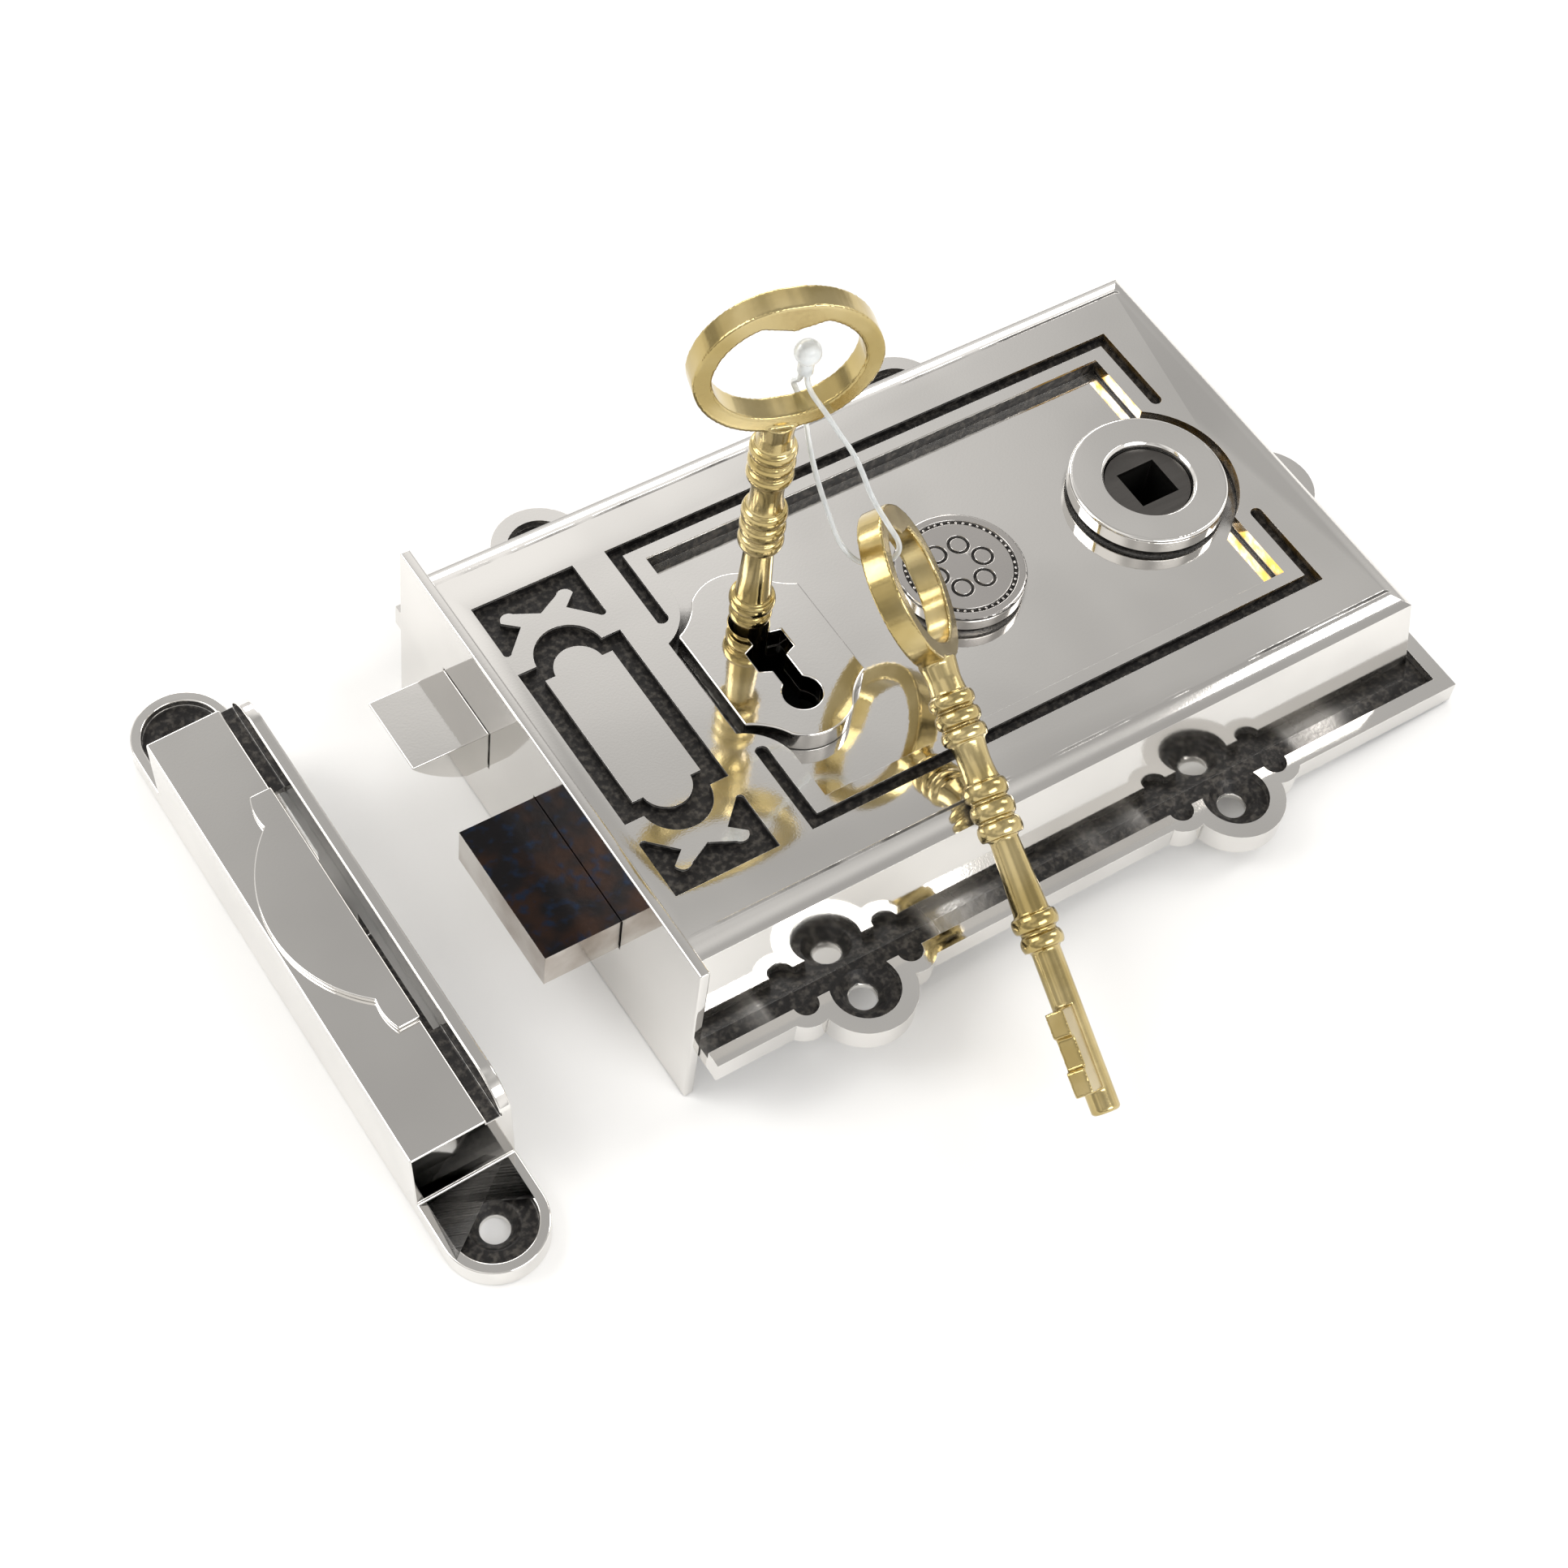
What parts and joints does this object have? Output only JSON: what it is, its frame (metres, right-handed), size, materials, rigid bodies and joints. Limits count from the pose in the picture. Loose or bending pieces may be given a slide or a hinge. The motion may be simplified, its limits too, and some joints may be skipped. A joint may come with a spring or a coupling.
{
  "type": "rim lock",
  "caption": "Surface-mounted rim lock with sprung latch, key-driven deadbolt, matching keep and keys on a tag loop.",
  "frame": {"origin": "centre of the case fixing screws, on the plane of the lock that lies on the door face", "axes": "+Z out of the door face, -X towards the door edge where the bolts come out, +Y towards the latch side"},
  "size_m": [0.2157, 0.1581, 0.1204],
  "materials": {
    "nickel": "polished nickel with blackened recesses",
    "steel": "mill steel, oiled",
    "blackened": "oil blackened with temper colours",
    "key_brass": "polished cast brass",
    "lever_brass": "dull brass",
    "nylon": "translucent nylon"
  },
  "bodies": {
    "lock_case": {"case_casting": "nickel", "forend_plate": "nickel", "back_cap": "steel", "cap_screws": "steel", "spindle_rose": "nickel", "badge_button": "nickel", "key_escutcheon": "nickel", "bolt_guide_stud": "steel", "lever_pivot_pin": "steel", "lever_spring": "steel", "latch_spring": "steel", "spring_stop": "steel", "key_spare": "key_brass", "keep_casting": "nickel", "keep_wear_plate": "nickel", "tag_loop": "nylon"},
    "latch": {"latch_bolt": "nickel"},
    "deadbolt": {"dead_bolt": "blackened", "bolt_stump": "steel"},
    "follower": {"follower": "steel"},
    "lever": {"lever_tumbler": "lever_brass"},
    "key": {"key_turning": "key_brass", "tag_socket": "nylon"}
  },
  "joints": [
    {"name": "follower_turn", "type": "hinge", "parent": "lock_case", "child": "follower", "pos_m": [0.0542, 0, 0.0125], "axis": [0, 0, -1], "range_deg": [0, 39.5], "stiffness_Nm_per_rad": 0.35, "springref_deg": -11.46},
    {"name": "latch_slide", "type": "slide", "parent": "lock_case", "child": "latch", "axis": [1, 0, 0], "range_m": [0, 0.0142], "deforming": ["latch_spring"]},
    {"name": "key_turn", "type": "hinge", "parent": "lock_case", "child": "key", "pos_m": [-0.0258, 0.0073, 0.0125], "axis": [0, 0, -1], "range_deg": [0, 146], "deforming": ["tag_loop"]},
    {"name": "deadbolt_slide", "type": "slide", "parent": "lock_case", "child": "deadbolt", "axis": [1, 0, 0], "range_m": [0, 0.0142]},
    {"name": "lever_lift", "type": "hinge", "parent": "lock_case", "child": "lever", "pos_m": [0.004, 0.0155, 0.0094], "axis": [0, 0, 1], "range_deg": [0, 2.5], "deforming": ["lever_spring"]}
  ],
  "couplings": [
    {"joint": "follower_turn", "follows": "latch_slide", "rad_per_m": 48.54},
    {"joint": "key_turn", "follows": "deadbolt_slide", "rad_per_m": 179.44}
  ]
}
